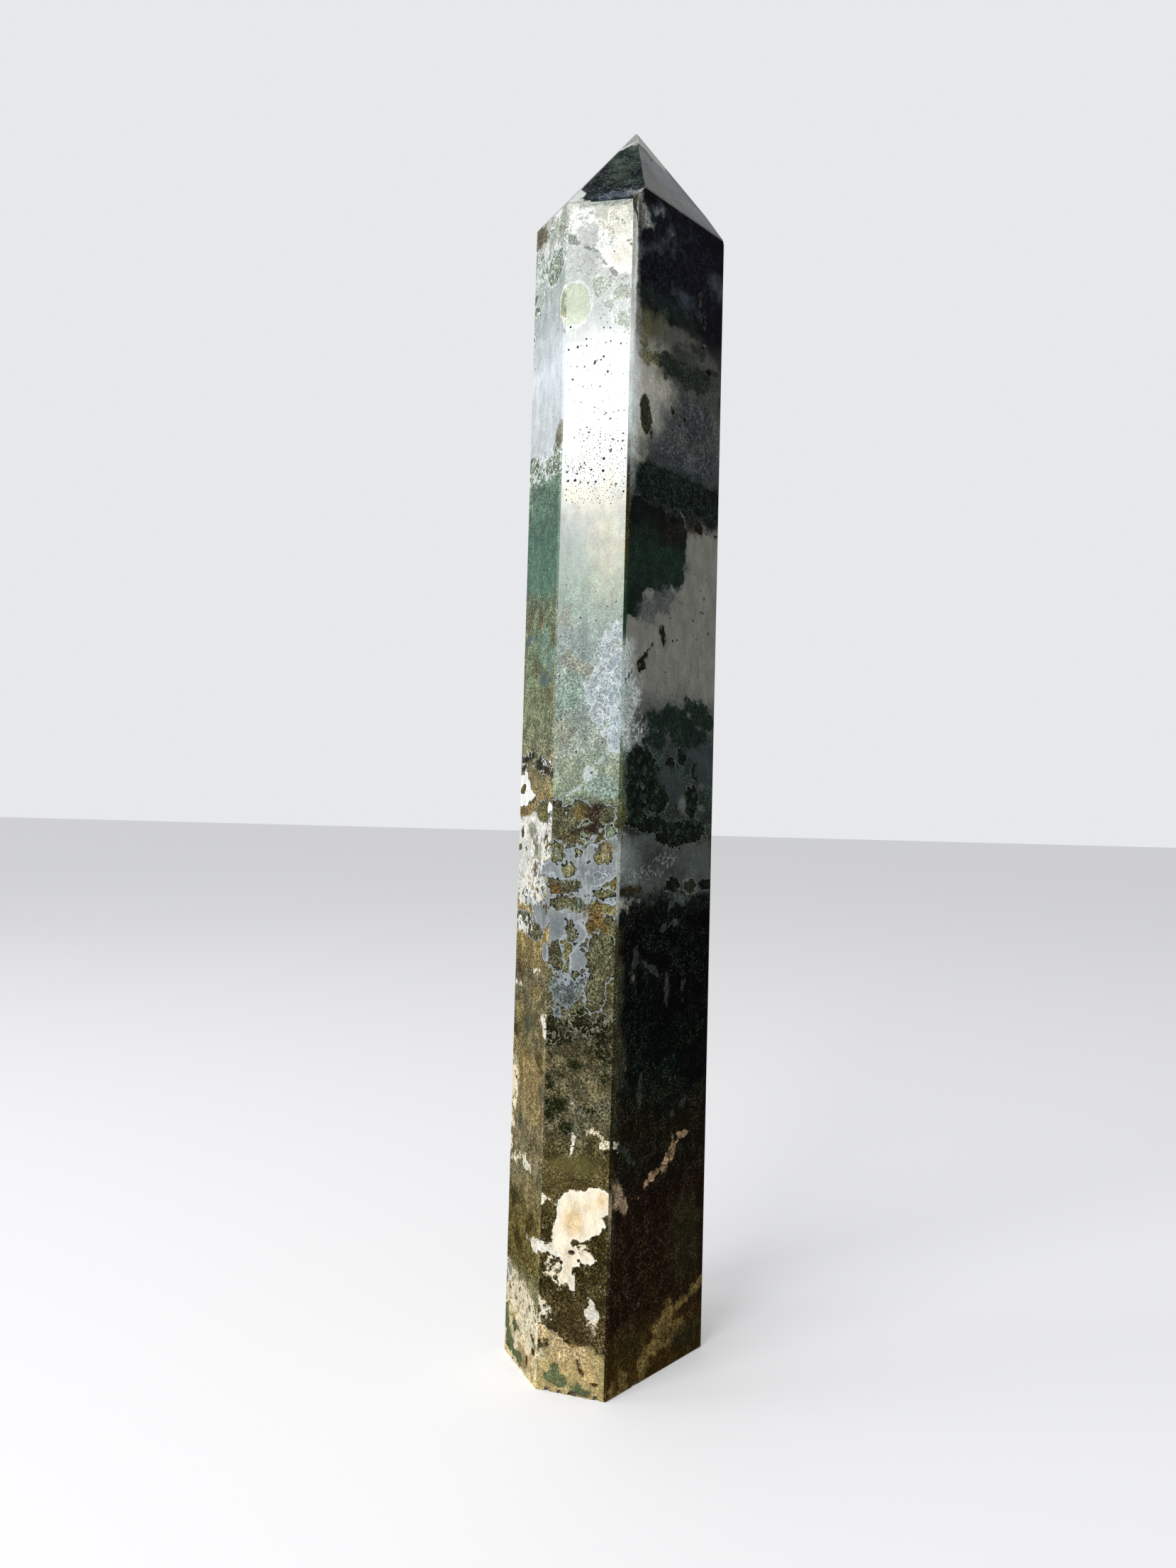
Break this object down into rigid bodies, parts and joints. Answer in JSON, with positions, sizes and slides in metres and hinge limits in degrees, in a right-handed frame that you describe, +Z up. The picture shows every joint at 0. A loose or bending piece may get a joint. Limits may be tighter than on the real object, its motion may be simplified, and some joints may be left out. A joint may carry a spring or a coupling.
{
  "type": "moss agate tower",
  "caption": "Tall polished stone point with flat long faces, a faceted tip and a flat base it stands on.",
  "frame": {"origin": "middle of the flat base, on the surface the tower stands on", "axes": "+Z up along the tower to its tip; -Y towards the front, where the narrow face is; +X to the front's right"},
  "size_m": [0.069, 0.076, 0.4367],
  "materials": {
    "moss_agate": "polished opaque stone, mottled green, brown and white"
  },
  "bodies": {
    "root": {"tower": "moss_agate"}
  },
  "joints": []
}
